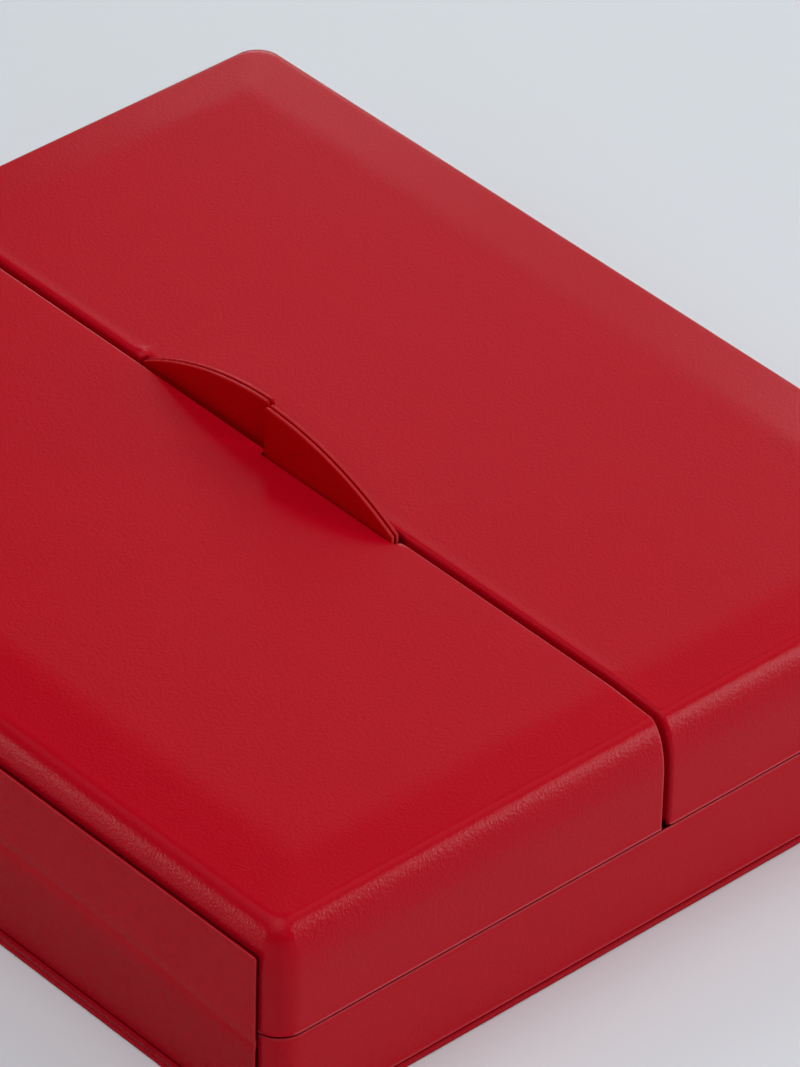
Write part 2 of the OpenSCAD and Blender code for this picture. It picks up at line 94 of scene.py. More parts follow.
LID_LOW, LID_HIGH = box_mm("lid_leather_left")
HALF_WIDTH = -LID_LOW[0]
HALF_LENGTH = LID_HIGH[1]
JOINT_Z = LID_LOW[2]
TOP_Z = LID_HIGH[2]
SEAM_X = LID_HIGH[0]
RAIL_LOW = box_mm("seam_rail_left")[0]
BOARD_LOW, BOARD_HIGH = box_mm("base_board")
BOARD_TOP = BOARD_HIGH[2] - BOARD_STEP
TAB_LOW, TAB_HIGH = box_mm("tab_front_leaf_left")
PANEL_LOW = box_mm("lower_hinge_leather_left")[0]
PANEL_HIGH = box_mm("upper_hinge_leather_left")[1]
SKIN = RAIL_LOW[2] - (TOP_Z - RAIL_DEPTH)


# Mesh making

class Surface:
    """Collects grids of points and joins them into one mesh."""

    def __init__(self):
        self.points = []
        self.faces = []

    def grid(self, rows, closed=False):
        """Adds a grid of points, shape (rows, columns, 3); closed joins the last column to the first."""
        rows = np.asarray(rows, float)
        count, width = rows.shape[:2]
        start = len(self.points)
        self.points.extend(rows.reshape(-1, 3))
        for i in range(count - 1):
            for j in range(width if closed else width - 1):
                a = start + i * width + j
                b = start + i * width + (j + 1) % width
                self.faces.append((a, b, b + width, a + width))

    def polygon(self, points):
        """Adds one flat face."""
        start = len(self.points)
        self.points.extend(np.asarray(points, float))
        self.faces.append(tuple(range(start, start + len(points))))

    def object(self, name, turned=False, move=None, wear_and_painted_light=None):
        """Makes the Blender object; turned gives it half a turn about Z, and move changes its points first.
        The last argument gives each point its share of a painted highlight, or below 0 of painted shade."""
        points = np.array(self.points)
        painted_light_tone = wear_and_painted_light(points) if wear_and_painted_light else None
        if move:
            points = move(points)
        if turned:
            points = points * (-1, -1, 1)
        mesh = bpy.data.meshes.new(name)
        mesh.from_pydata((points * MM).tolist(), [], self.faces)
        if wear_and_painted_light:
            # painted light on the points: above 0 a painted highlight, below 0 painted shade
            shares = mesh.attributes.new("wear_and_painted_light", "FLOAT", "POINT")
            shares.data.foreach_set("value", np.asarray(painted_light_tone, np.float32))
        form = bmesh.new()
        form.from_mesh(mesh)
        bmesh.ops.remove_doubles(form, verts=form.verts, dist=SAME_POINT * MM)
        bmesh.ops.triangulate(form, faces=[f for f in form.faces if len(f.verts) > 4])
        bmesh.ops.recalc_face_normals(form, faces=form.faces)
        for face in form.faces:
            face.smooth = True
        form.to_mesh(mesh)
        form.free()
        piece = bpy.data.objects.new(name, mesh)
        bpy.context.scene.collection.objects.link(piece)
        return piece


def smooth_step(value, low, high):
    """0 below low, 1 above high, smooth between them."""
    t = np.clip((np.asarray(value, float) - low) / (high - low), 0, 1)
    return t * t * (3 - 2 * t)


def arc(centre, radii, start, end, steps):
    """Points (x, z) and unit normals of an elliptic arc; angles in degrees."""
    found = []
    for i in range(steps + 1):
        a = math.radians(start + (end - start) * i / steps)
        normal = Vector((math.cos(a) / radii[0], math.sin(a) / radii[1])).normalized()
        found.append((centre[0] + radii[0] * math.cos(a), centre[1] + radii[1] * math.sin(a), *normal))
    return found


def spread(low, high, step):
    """Even steps from low to high, both included."""
    return np.linspace(low, high, max(2, round((high - low) / step) + 1))


def merged_rows(*groups):
    """All the values of the groups in order, without near doubles."""
    values = np.sort(np.concatenate(groups))
    keep = [values[0]]
    for value in values[1:]:
        if value - keep[-1] > SAME_ROW:
            keep.append(value)
    keep[-1] = values[-1]
    return np.array(keep)


# Rounded rectangles

def ring(half_x, half_y, radius, u, v, corner_steps=8):
    """Points (x, y) round a rectangle with round corners, counter-clockwise from its lower left side.
    u and v are the places of the samples along its sides, from -1 to 1."""
    radius = max(radius, 0.0)
    cx = half_x - radius
    cy = half_y - radius
    turn = [math.radians(90 * i / corner_steps) for i in range(1, corner_steps)]
    points = [(t * cx, -half_y) for t in u]
    points += [(cx + radius * math.sin(a), -cy - radius * math.cos(a)) for a in turn]
    points += [(half_x, t * cy) for t in v]
    points += [(cx + radius * math.cos(a), cy + radius * math.sin(a)) for a in turn]
    points += [(-t * cx, half_y) for t in u]
    points += [(-cx - radius * math.sin(a), cy + radius * math.cos(a)) for a in turn]
    points += [(-half_x, -t * cy) for t in v]
    points += [(-cx - radius * math.cos(a), -cy - radius * math.sin(a)) for a in turn]
    return points


def swept_ring(profile, half_x, half_y, radius, u, v):
    """Grid of a profile swept round a rectangle. A profile point is (inset in x, inset in y, height)."""
    rows = []
    for inset_x, inset_y, high in profile:
        flat = ring(half_x - inset_x, half_y - inset_y, radius - max(inset_x, inset_y), u, v)
        rows.append([(x, y, high) for x, y in flat])
    return rows


# Lid

def lid_profile():
    """Rings of a lid from the turn-in inside its walls, round the foot and over the edge, to the flat top.
    Each is (inset in x, inset in y, height on the side, height on the end, outward normal)."""
    inside = WALL + TURN_IN
    foot = JOINT_Z + FOOT_GAP
    flat = [(inside, z, 1.0, 0.0) for z in (RAIL_LOW[2] - SKIN, 32.0, JOINT_Z + 3)]
    flat += arc((inside - 0.9, foot + 0.9), (0.9, 0.9), 0, -90, 5)
    flat += [(d, foot, 0.0, -1.0) for d in (5.5, 3.5, 1.5)]
    flat += arc((FOOT_ROUND - FOOT_BEAD, foot + FOOT_ROUND), (FOOT_ROUND, FOOT_ROUND), 270, 150, 8)
    flat += [(-0.02, foot + 0.75, -1.0, 0.0)]
    edge_z = TOP_Z - BEVEL_DROP - EDGE_DEPTH
    flat += [(0.0, z, -1.0, 0.0) for z in spread(foot + 1.0, edge_z - 0.4, 2.2)]
    flat += arc((EDGE_REACH, edge_z), (EDGE_REACH, EDGE_DEPTH), 180, 92, 27)
    rings = [(d, d, z, z, Vector((nd, nz))) for d, z, nd, nz in flat]
    fall_side = BEVEL_DROP / (BEVEL_SIDE - EDGE_REACH)
    fall_end = BEVEL_DROP / (BEVEL_END - EDGE_REACH)
    slope_normal = Vector((-fall_side, 1.0)).normalized()
    low = TOP_Z - BEVEL_DROP
    for t in (0.05, 0.12, 0.25, 0.5, 0.75, 0.9):
        run_x = t * (BEVEL_SIDE - BEVEL_EASE - EDGE_REACH)
        run_y = t * (BEVEL_END - BEVEL_EASE - EDGE_REACH)
        rings.append((EDGE_REACH + run_x, EDGE_REACH + run_y,
                      low + fall_side * run_x, low + fall_end * run_y, slope_normal))
    for t in np.linspace(-1, 1, 9):
        rest = (BEVEL_EASE * (1 - t)) ** 2 / (4 * BEVEL_EASE)
        normal = Vector((-fall_side * (1 - t) / 2, 1.0)).normalized()
        rings.append((BEVEL_SIDE + BEVEL_EASE * t, BEVEL_END + BEVEL_EASE * t,
                      TOP_Z - fall_side * rest, TOP_Z - fall_end * rest, normal))
    rings.append((BEVEL_SIDE + BEVEL_EASE + 1, BEVEL_END + BEVEL_EASE + 1, TOP_Z, TOP_Z, Vector((0, 1.0))))
    return rings


FLAT_X = -HALF_WIDTH + BEVEL_SIDE + BEVEL_EASE + 1
FLAT_Y = HALF_LENGTH - BEVEL_END - BEVEL_EASE - 1
CORNER_INSETS = (0, 0.64, 1.2, 1.96, 3.1, 5.3, 10, BEVEL_SIDE + BEVEL_EASE + 1)


def lid_ring(entry, columns, rows, edge_x, radii):
    """Points and normals of one U-shaped ring of the left lid, from the seam at -Y to the seam at +Y."""
    inset_x, inset_y, high_side, high_end, normal = entry
    radius = float(np.interp(inset_x, CORNER_INSETS, radii))
    cx = -HALF_WIDTH + inset_x + radius
    cy = HALF_LENGTH - inset_y - radius
    points = []
    normals = []

    def add(x, y, way, share):
        points.append((x, y, high_side * share + high_end * (1 - share)))
        normals.append((-way[0] * normal[0], -way[1] * normal[0], normal[1]))

    corner_steps = 10
    for t in columns:
        add(edge_x + (cx - edge_x) * t, -cy - radius, (0, -1), 0)
    turn = [math.radians(90 * i / corner_steps) for i in range(1, corner_steps)]
    for a in turn:
        way = (-math.sin(a), -math.cos(a))
        add(cx + radius * way[0], -cy + radius * way[1], way, way[0] ** 2)
    for t in rows:
        add(cx - radius, cy * t, (-1, 0), 1)
    for a in turn:
        way = (-math.cos(a), math.sin(a))
        add(cx + radius * way[0], cy + radius * way[1], way, way[0] ** 2)
    for t in columns[::-1]:
        add(edge_x + (cx - edge_x) * t, cy + radius, (0, 1), 0)
    return np.array(points), np.array(normals)


class Notch:
    """A lid's seam edge, how round it is, and where it gives way to the tab.
    Each end of the notch is a pair (lowest y, highest y) of its S-curve.
    radii are the radii of the lid's upright corners at CORNER_INSETS."""

    def __init__(self, rounding, wall_far, wall_near, edge_far, edge_near, edge_x, radii):
        self.radii = radii
        self.rounding = rounding
        self.wall_far = wall_far
        self.wall_near = wall_near
        self.edge_far = edge_far
        self.edge_near = edge_near
        self.edge_x = edge_x

    def share(self, y, far, near):
        return smooth_step(y, *far) * (1 - smooth_step(y, *near))

    def wall(self, y):
        """Where the upright seam face stands."""
        return SEAM_X + (TAB_LOW[0] - 0.05 - SEAM_X) * self.share(y, self.wall_far, self.wall_near)

    def edge(self, y):
        """Where the top starts to round off towards the seam face."""
        start = SEAM_X - self.rounding
        return start + (self.edge_x - start) * self.share(y, self.edge_far, self.edge_near)


def seam_steps(point, normal, wall_x, edge_x, rounding, steps=7):
    """Points that round off from the top's edge to the seam face."""
    found = []
    for i in range(steps + 1):
        a = math.radians(90 * i / steps)
        back = rounding * (1 - math.cos(a))
        x = edge_x + (wall_x - edge_x) * math.sin(a)
        found.append((x, point[1] - normal[1] * back, point[2] - normal[2] * back))
    return found


def lid_surface(notch, rows_y):
    """Leather shell of the left lid, with the seam face, the notch and the underside of the rail."""
    surface = Surface()
    edge_x = SEAM_X - notch.rounding
    reach = edge_x - FLAT_X
    columns = np.array([0, 0.2, 0.8, 1.8, 3.2, 5, 8, 12, 17, 23, 30, 38, 46, 54, 62, 70, 76,
                        reach - 0.6, reach]) / reach
    rows = rows_y / FLAT_Y
    rings = [lid_ring(entry, columns, rows, edge_x, notch.radii) for entry in lid_profile()]
    surface.grid([points for points, _ in rings])
    top = [[(notch.edge(y) + (FLAT_X - notch.edge(y)) * t, y, TOP_Z) for t in columns] for y in rows_y]
    surface.grid(top)

    # the edge along the seam: up over one end, along the top and down over the other end
    near_end, far_end = ([seam_steps(points[i], normals[i], SEAM_X, edge_x, notch.rounding)
                          for points, normals in rings] for i in (0, -1))
    along = [seam_steps((0, y, TOP_Z), (0, 0, 1), notch.wall(y), notch.edge(y), notch.rounding)
             for y in rows_y]
    surface.grid(near_end)
    surface.grid(along)
    surface.grid(far_end)

    # upright seam face with the ledge under the tab, then the underside of the rail
    rail_z = RAIL_LOW[2] - SKIN
    rail_x = RAIL_LOW[0] - TURN_IN
    ease = 0.4

    def under_rail(y):
        found = [(SEAM_X - RAIL_ROUND * (1 - math.cos(a)), y, rail_z + RAIL_ROUND * (1 - math.sin(a)))
                 for a in np.radians([0, 22, 45, 68, 90])]
        found += [(x, y, rail_z) for x in (-3.0, -5.0, rail_x + ease)]
        return found + [(rail_x, y, rail_z + ease), (rail_x, y, rail_z + 6)]

    def seam_face(y):
        wall_x = notch.wall(y)
        found = [(wall_x, y, z) for z in (TOP_Z - notch.rounding, 50.0, 47.0, 44.0, NOTCH_LEDGE + ease)]
        found += [(min(wall_x + ease, SEAM_X), y, NOTCH_LEDGE), (max(SEAM_X - ease, wall_x), y, NOTCH_LEDGE)]
        return found + [(SEAM_X, y, NOTCH_LEDGE - ease)]

    surface.grid([seam_face(y) + under_rail(y) for y in rows_y])
    inner_y = HALF_LENGTH - WALL - TURN_IN
    for side, end in ((-1, near_end), (1, far_end)):
        extra = [side * y for y in (FLAT_Y, FLAT_Y + 5, inner_y - 1, inner_y)]
        surface.grid([under_rail(y) for y in extra])
        border = [steps[-1] for steps in end]
        surface.polygon(border + seam_face(side * FLAT_Y)[1:] + [under_rail(y)[0] for y in extra])
    return surface


# height and length
WAVES = ((0.07, 34), (0.02, 9))


def lid_waves(points):
    """Slight unevenness of leather drawn over padding."""
    moved = points.copy()
    for i, (x, y, z) in enumerate(points):
        if z < JOINT_Z + 4 or x > SEAM_X - 0.3:
            continue
        lift = sum(high * noise.noise((x / long, y / long, z / long)) for high, long in WAVES)
        up = smooth_step(z, TOP_Z - 7, TOP_Z - 1)
        moved[i, 2] += lift * up
        moved[i, 0] += lift * (1 - up) * (x < -HALF_WIDTH + 4)
    return moved


LEFT_NOTCH = Notch(0.5, (-43.6, -42.6), (-0.5, 0.1), (-46.2, -42.4), (-0.4, 1.2), -3.45,
                   (CORNER, 5.9, 5.1, 3.9, 3.2, 3.2, 4.0, 0))
RIGHT_NOTCH = Notch(1.0, (-43.8, -42.8), (-1.1, -0.5), (-45.0, -43.2), (-1.9, -0.5), -3.5,
                    (CORNER, 6.2, 5.6, 4.9, 6.0, 6.2, 5.5, 0))


def seam_painted_light(points, notch, share):
    """Painted highlight along the lower edge of the walls and along the seam's edge, and painted shade
    beside the tabs.
    share is how much of the painted highlight the seam's edge gets."""
    inset = np.minimum(points[:, 0] + HALF_WIDTH, HALF_LENGTH - np.abs(points[:, 1]))
    # painted highlight line on the lid's lower edge
    foot = np.exp(-((points[:, 2] - JOINT_Z - FOOT_GAP - 0.25) / 0.14) ** 2) * (inset < 0.1)
    outside = (points[:, 2] > TOP_Z - notch.rounding - 0.05) | (inset < 5)
    # painted highlight along the seam's edge
    middle = SEAM_X - notch.rounding * 0.5
    seam = np.exp(-((points[:, 0] - middle) / (0.4 * notch.rounding)) ** 2) * outside * (points[:, 0] > -2.5)
    upright = points[:, 2] < TOP_Z - 4
    beside_tab = smooth_step(TAB_REACH - np.abs(points[:, 1]), 0, 2)
    # painted shade in the crack between the notch's edge and the tab
    crack = beside_tab * smooth_step(points[:, 0] - notch.wall(points[:, 1]), -0.45, -0.1)
    line = share * (0.5 + 0.4 * upright) * seam * (1 - beside_tab)
    return 0.9 * foot * (points[:, 0] < SEAM_X - 0.05) + line - 0.85 * crack


LIP_HIGH = 0.1
LIP_X = -2.2
LIP_WIDTH = 0.9

# centre in x and y, height, and reach in x and y
NOTCH_FOLDS = ((-2.5, -44.5, 0.2, 0.45, 1.4), (-3.9, -44.1, 0.15, 0.4, 1.1))


def notch_bump(points):
    """The right lid's soft lip along its seam edge, and the small doubled fold of leather at its notch."""
    moved = lid_waves(points)
    top = points[:, 2] > TOP_Z - 2
    along = np.abs(points[:, 1]) < FLAT_Y + 2
    moved[:, 2] += top * along * LIP_HIGH * np.exp(-((points[:, 0] - LIP_X) / LIP_WIDTH) ** 2)
    for centre_x, centre_y, high, wide, long in NOTCH_FOLDS:
        away = ((points[:, 0] - centre_x) / wide) ** 2 + ((points[:, 1] - centre_y) / long) ** 2
        moved[:, 2] += high * np.exp(-away) * top
    return moved


SEAM_ROWS = merged_rows(spread(-FLAT_Y, FLAT_Y, 4.6), spread(-48, -41, 0.3), spread(-2.4, 2.4, 0.2))
lid_left = lid_surface(LEFT_NOTCH, SEAM_ROWS).object(
    "lid_shell_left", False, lid_waves, lambda points: seam_painted_light(points, LEFT_NOTCH, 1.0))
lid_right = lid_surface(RIGHT_NOTCH, SEAM_ROWS).object(
    "lid_shell_right", True, notch_bump, lambda points: seam_painted_light(points, RIGHT_NOTCH, 0.0))


# Base

ALONG = np.linspace(-1, 1, 41)
ACROSS = np.linspace(-1, 1, 35)
BOARD_GROOVE = -0.3
GROOVE_OUT = 2.2
CREST_Z = 23.55

# the rim from the wall's face, over its crest and through the groove, as (inset, height)
RIM_PROFILE = [(0, 21.9), (0.01, 22.3), (0.04, 22.7), (0.09, 23.05), (0.15, 23.32), (0.22, 23.52),
               (0.3, 23.66), (0.4, 23.72), (0.5, 23.7), (0.62, 23.6), (0.78, 23.5), (1.0, 23.46),
               (1.6, 23.46), (1.85, 23.6), (2.05, 24.0)]


def wall_inset(points):
    """How far points lie inside the upright outer face of the case, round its corners too."""
    over_x = np.abs(points[:, 0]) - HALF_WIDTH + CORNER
    over_y = np.abs(points[:, 1]) - HALF_LENGTH + CORNER
    round_part = np.hypot(np.maximum(over_x, 0), np.maximum(over_y, 0))
    return CORNER - np.where((over_x > 0) & (over_y > 0), round_part, np.maximum(over_x, over_y))


def base_painted_light(points):
    """Painted highlight on the rim's crest and wall foot; painted shade in the groove under the lid and
    underneath.
    """
    inset = wall_inset(points)
    # painted highlight on the rim's crest and on the walls' foot
    crest = np.exp(-((points[:, 2] - CREST_Z) / 0.28) ** 2) * (inset < 0.55)
    foot = np.exp(-((points[:, 2] - BOARD_TOP - 0.3) / 0.2) ** 2) * (inset < 0.05)
    # painted shade in the groove under the lid and on the underside
    joint = (points[:, 2] > 23) * (inset < GROOVE_OUT) * smooth_step(inset, 0.5, 0.75)
    under = (inset > 0.2) & (points[:, 2] < BOARD_TOP + 0.3)
    return 0.25 * crest + 0.9 * foot - joint - 0.3 * under


def board_painted_shade(points):
    """Painted shade in the gap between the board's nose and the wall."""
    return -0.1 * ((wall_inset(points) > BOARD_GROOVE - 0.01) & (points[:, 2] > BOARD_TOP - 0.01))


def base_surface():
    """Leather round the base walls: up the outside, over the rounded rim and a little way down inside."""
    inside = WALL + 0.2
    low = BOARD_TOP
    profile = [(1.4, low), (1.4, low + 0.1), (0.3, low + 0.1), (0.0, low + 0.12), (-0.13, low + 0.19)]
    profile += [(-0.19, low + 0.32), (-0.17, low + 0.5), (-0.08, low + 0.9), (0, low + 1.5)]
    profile += [(0, z) for z in spread(low + 3, JOINT_Z - RIM_DEPTH - 0.3, 3)]
    profile += RIM_PROFILE
    profile += [(2.4, JOINT_Z), (5.4, JOINT_Z)]
    profile += [(x, z) for x, z, _, _ in arc((inside - 1.2, JOINT_Z - 1.2), (1.2, 1.2), 90, 0, 5)]
    profile += [(inside, JOINT_Z - 3.5)]
    surface = Surface()
    even = [(d, d, z) for d, z in profile]
    surface.grid(swept_ring(even, HALF_WIDTH, HALF_LENGTH, CORNER, ACROSS, ALONG), closed=True)
    return surface


def board_surface():
    """Leather-wrapped base board with its rounded edge and the recess for the suede."""
    thick = BOARD_TOP - BOARD_LOW[2]
    nose = thick / 2
    under = 0.45
    half_x = BOARD_HIGH[0]
    half_y = BOARD_HIGH[1]
    suede_x, suede_y, _ = box_mm("base_suede")[1]
    edge = [(x, x, z) for x, z, _, _ in arc((nose, thick - nose), (nose, nose), 110, 180, 6)]
    edge += [(x, x, z) for x, z, _, _ in arc((under, under), (under, under), 180, 270, 6)]
    low = [(half_x - suede_x - 0.3, half_y - suede_y - 0.3, 0), (half_x - suede_x, half_y - suede_y, 0.3)]
    low += [(half_x - suede_x, half_y - suede_y, 0.7)]
    high = [(half_x - HALF_WIDTH + d, half_y - HALF_LENGTH + d, thick) for d in (5, 0.05, BOARD_GROOVE)]
    high += [(nose - 0.3, nose - 0.3, thick - 0.02)]
    surface = Surface()
    radius = CORNER + half_y - HALF_LENGTH
    surface.grid(swept_ring(high + edge + low, half_x, half_y, radius, ACROSS, ALONG), closed=True)
    return surface


base_skin = base_surface().object("base_cover", wear_and_painted_light=base_painted_light)
base_plinth = board_surface().object("base_plinth", wear_and_painted_light=board_painted_shade)


# Hinge strips

CREASE_DEPTH = 0.22
CREASE_WIDTH = 1.2
STRIP_LIP = 0.25


def crease_height(y):
    """Line of the crease, which dips a little towards the near end."""
    return JOINT_Z + 0.8 * smooth_step(y, -95, -60) - 2.2 * (1 - smooth_step(y, -119, -80))


def strip_surface():
    """One leather strip over both panels of the left hinge, with a soft crease along the joint."""
    out = PANEL_LOW[0]
    inner = -HALF_WIDTH
    half_y = PANEL_HIGH[1]
    half_z = (PANEL_HIGH[2] - PANEL_LOW[2]) / 2
    middle = (PANEL_HIGH[2] + PANEL_LOW[2]) / 2
    crease = (JOINT_Z - middle) / half_z
    u = np.linspace(-1, 1, 61)
    near_crease = spread(crease * half_z - 3.6, crease * half_z + 3.6, 0.3)
    v = merged_rows(np.linspace(-half_z, half_z, 9), near_crease) / half_z
    edge = STRIP_LIP
    profile = [(0.42, inner + 0.1), (0.42, inner - 0.4), (0.3, inner - 0.75)]
    profile += [(edge - edge * math.cos(a), out + edge - edge * math.sin(a))
                for a in np.radians(np.linspace(-80, 90, 9))]
    profile += [(edge + 0.3, out)]
    surface = Surface()
    rows = []
    for inset, x in profile:
        flat = ring(half_y - inset, half_z - inset, 0 if inset > 0.5 else max(0.2, 1.0 - 2 * inset), u, v)
        rows.append([(x, y, middle + z) for y, z in flat])
    surface.grid(rows, closed=True)
    last = edge + 0.3
    surface.grid([[(out, t * (half_y - last), middle + w * (half_z - last)) for t in u] for w in v])
    return surface


def strip_crease(points):
    """Presses the crease into the strip's face."""
    moved = points.copy()
    away = (points[:, 2] - crease_height(points[:, 1])) / CREASE_WIDTH
    face = points[:, 0] < PANEL_LOW[0] + 0.6
    moved[:, 0] += face * CREASE_DEPTH * np.exp(-away ** 2)
    return moved


def strip_painted_light(points):
    """Painted highlight on the strip's front edge, painted shade in the undercut behind it and on the lower
    panel.
    """
    inset = np.minimum(PANEL_HIGH[1] - np.abs(points[:, 1]),
                       np.minimum(PANEL_HIGH[2] - points[:, 2], points[:, 2] - PANEL_LOW[2]))
    front = points[:, 0] < PANEL_LOW[0] + 0.3
    # painted highlight on the front edge
    lip = 0.35 * np.exp(-((inset - 0.12) / 0.1) ** 2) * front
    # painted shade, darker towards the bottom of the lower panel
    lower = 0.16 * (1 - smooth_step(points[:, 2], JOINT_Z - 6, JOINT_Z)) * (inset > 0.2)
    # painted shade in the undercut behind the edge
    undercut = 0.9 * smooth_step(points[:, 0], PANEL_LOW[0] + 0.35, PANEL_LOW[0] + 0.6)
    return lip - lower - undercut


strip_left = strip_surface().object("hinge_strip_left", False, strip_crease, strip_painted_light)
strip_right = strip_surface().object("hinge_strip_right", True, strip_crease, strip_painted_light)


# Pull tabs

TAB_RISE = TAB_HIGH[2] - TOP_Z
TAB_RADIUS = (TAB_REACH ** 2 + TAB_RISE ** 2) / (2 * TAB_RISE)
LEAF = TAB_HIGH[0] - TAB_LOW[0]


def tab_surface(near_x, far_x, fullness):
    """One leaf of the left tab: a flat piece with softly rounded edges, its arc ending in the notch."""
    centre_z = TAB_HIGH[2] + fullness - TAB_RADIUS
    upright_y = TAB_HIGH[1]
    foot_z = NOTCH_LEDGE + 0.1
    edge = 0.3
    surface = Surface()

    def outline(inset):
        radius = TAB_RADIUS - inset
        low_y = TAB_LOW[1] + inset
        high_y = upright_y - inset
        soft = 0.8
        arc_y = np.linspace(low_y, high_y - soft, 40)
        found = [(y, centre_z + math.sqrt(radius ** 2 - y ** 2)) for y in arc_y]
        end_z = found[-1][1]
        found += [(high_y - soft + soft * math.sin(a), end_z - soft + soft * math.cos(a))
                  for a in np.radians([22, 45, 68, 90])]
        found += [(high_y, z) for z in np.linspace(end_z - 2, foot_z + inset, 6)]
        return found + [(low_y, foot_z + inset)]

    steps = [(edge * (1 - math.sin(a)), edge * (1 - math.cos(a))) for a in np.radians([0, 30, 60, 90])]
    rings = [[(near_x + depth, y, z) for y, z in outline(inset)] for inset, depth in steps]
    rings += [[(far_x - depth, y, z) for y, z in outline(inset)] for inset, depth in steps[::-1]]
    surface.grid(rings, closed=True)
    surface.polygon(rings[0])
    surface.polygon(rings[-1])
    return surface


def rim_painted_highlight(fullness):
    """Painted highlight on a leaf's rim, along its arc."""
    centre_z = TAB_HIGH[2] + fullness - TAB_RADIUS

    def wear_and_painted_light(points):
        out = np.hypot(points[:, 1], points[:, 2] - centre_z)
        # painted highlight on the rim
        return 0.25 * smooth_step(out, TAB_RADIUS - 0.1, TAB_RADIUS) * (points[:, 2] > TOP_Z - 1)
    return wear_and_painted_light


leaf_pieces = {}
for side, turned, fullness in (("left", False, 0.9), ("right", True, -0.3)):
    front = tab_surface(TAB_LOW[0], TAB_LOW[0] + LEAF, fullness)
    back = tab_surface(TAB_LOW[0] + LEAF + CARD_GAP, TAB_LOW[0] + 2 * LEAF + CARD_GAP, fullness)
    for leaf, form in (("front", front), ("back", back)):
        piece = form.object("tab_" + leaf + "_" + side, turned, wear_and_painted_light=rim_painted_highlight(fullness))
        leaf_pieces["tab_" + leaf + "_leaf_" + side] = piece


# Linings

LINING = 1.2
LINING_ROUND = 0.5


def lining_profile(low, high, thick, up):
    """Closed section of a lining card, its visible edge rounded: the top one, or the lower if up is -1."""
    r = LINING_ROUND
    rim = high if up > 0 else low
    foot = low if up > 0 else high
    section = [(0, foot), (0, rim - up * r)]
    section += [(d, rim + up * (z - r)) for d, z, _, _ in arc((r, 0), (r, r), 180, 90, 4)]
    section += [(d, rim + up * (z - r)) for d, z, _, _ in arc((thick - r, 0), (r, r), 90, 0, 4)]
    section += [(thick, (foot + rim) / 2), (thick, foot), (0, foot)]
    return section


def base_lining_surface():
    """Velvet-covered lining card round the inside of the base walls."""
    low, high = box_mm("base_lining")
    surface = Surface()
    section = [(d, d, z) for d, z in lining_profile(low[2], high[2], LINING, 1)]
    surface.grid(swept_ring(section, high[0], high[1], 0.6, ACROSS, ALONG), closed=True)
    return surface


def lid_lining_surface():
    """Lining card along three walls of the left lid, open towards the seam."""
    low, high = box_mm("lid_wall_lining_left")
    surface = Surface()
    rows = []
    for d, z in lining_profile(low[2], high[2], LINING, -1):
        rows.append([(high[0], low[1] + d, z), (low[0] + d, low[1] + d, z),
                     (low[0] + d, high[1] - d, z), (high[0], high[1] - d, z)])
    surface.grid(rows)
    surface.polygon([row[0] for row in rows[:-1]])
    surface.polygon([row[-1] for row in rows[:-1]])
    return surface


# Pads

def pad_surface(half_x, half_y, thick, edge, step):
    """Closed flat pad standing on 0 with rounded shoulders, in even quads, ready to be swollen."""
    foot = min(0.8, thick / 3)
    profile = [(foot, 0), (foot * 0.3, foot * 0.3), (0, foot)]
    profile += [(d, thick - edge + z) for d, z, _, _ in arc((edge, 0), (edge, edge), 180, 90, 6)]
    u = spread(-half_x, half_x, step) / half_x
    v = spread(-half_y, half_y, step) / half_y
    surface = Surface()
    rows = []
    for i, (inset, z) in enumerate(profile):
        radius = 0 if i in (0, len(profile) - 1) else 1.2
        rows.append([(x, y, z) for x, y in ring(half_x - inset, half_y - inset, radius, u, v, 4)])
    surface.grid(rows, closed=True)
    for inset, z in (profile[0], profile[-1]):
        surface.grid([[(s * (half_x - inset), w * (half_y - inset), z) for s in u] for w in v])
    return surface


def placed(centre, hanging=False):
    """Moves a pad's points onto a place; hanging turns it upside down."""
    def move(points):
        way = np.array((1, -1, -1)) if hanging else np.array((1, 1, 1))
        return points * way + centre
    return move


def mesh_points(mesh):
    """The mesh's points, in metres, as an array of three columns."""
    flat = np.zeros(len(mesh.vertices) * 3)
    mesh.vertices.foreach_get("co", flat)
    return flat.reshape(-1, 3)


PRESSURE = 4.0
SWELL_FRAMES = 20


def inflate(piece, cap, held_below):
    """Swells a pad by cloth simulation. held_below says which points, in millimetres, are glued and stay.
    No point moves further than about cap, in millimetres."""
    rest = mesh_points(piece.data)
    group = piece.vertex_groups.new(name="held")
    group.add([int(i) for i in np.nonzero(held_below(rest / MM))[0]], 1.0, "REPLACE")
    cloth = piece.modifiers.new("swell", "CLOTH")
    cloth.settings.quality = 5
    cloth.settings.mass = 0.15
    cloth.settings.tension_stiffness = 15
    cloth.settings.compression_stiffness = 15
    cloth.settings.bending_stiffness = 0.5
    cloth.settings.use_pressure = True
    cloth.settings.uniform_pressure_force = PRESSURE
    cloth.settings.effector_weights.gravity = 0
    cloth.settings.vertex_group_mass = group.name
    cloth.collision_settings.use_collision = False
    scene = bpy.context.scene
    for step in range(1, SWELL_FRAMES + 1):
        scene.frame_set(step)
    swollen = piece.evaluated_get(bpy.context.evaluated_depsgraph_get()).to_mesh()
    shift = mesh_points(swollen) - rest
    piece.modifiers.remove(cloth)
    piece.vertex_groups.remove(group)
    scene.frame_set(1)
    size = np.linalg.norm(shift, axis=1)[:, None] + 1e-9
    limit = cap * MM
    rest += shift / size * limit * np.tanh(size / limit)
    piece.data.vertices.foreach_set("co", rest.ravel())
    piece.data.update()


def middle_of(low, high, z):
    """Middle of a box seen from above, at height z."""
    return np.array(((low[0] + high[0]) / 2, (low[1] + high[1]) / 2, z))


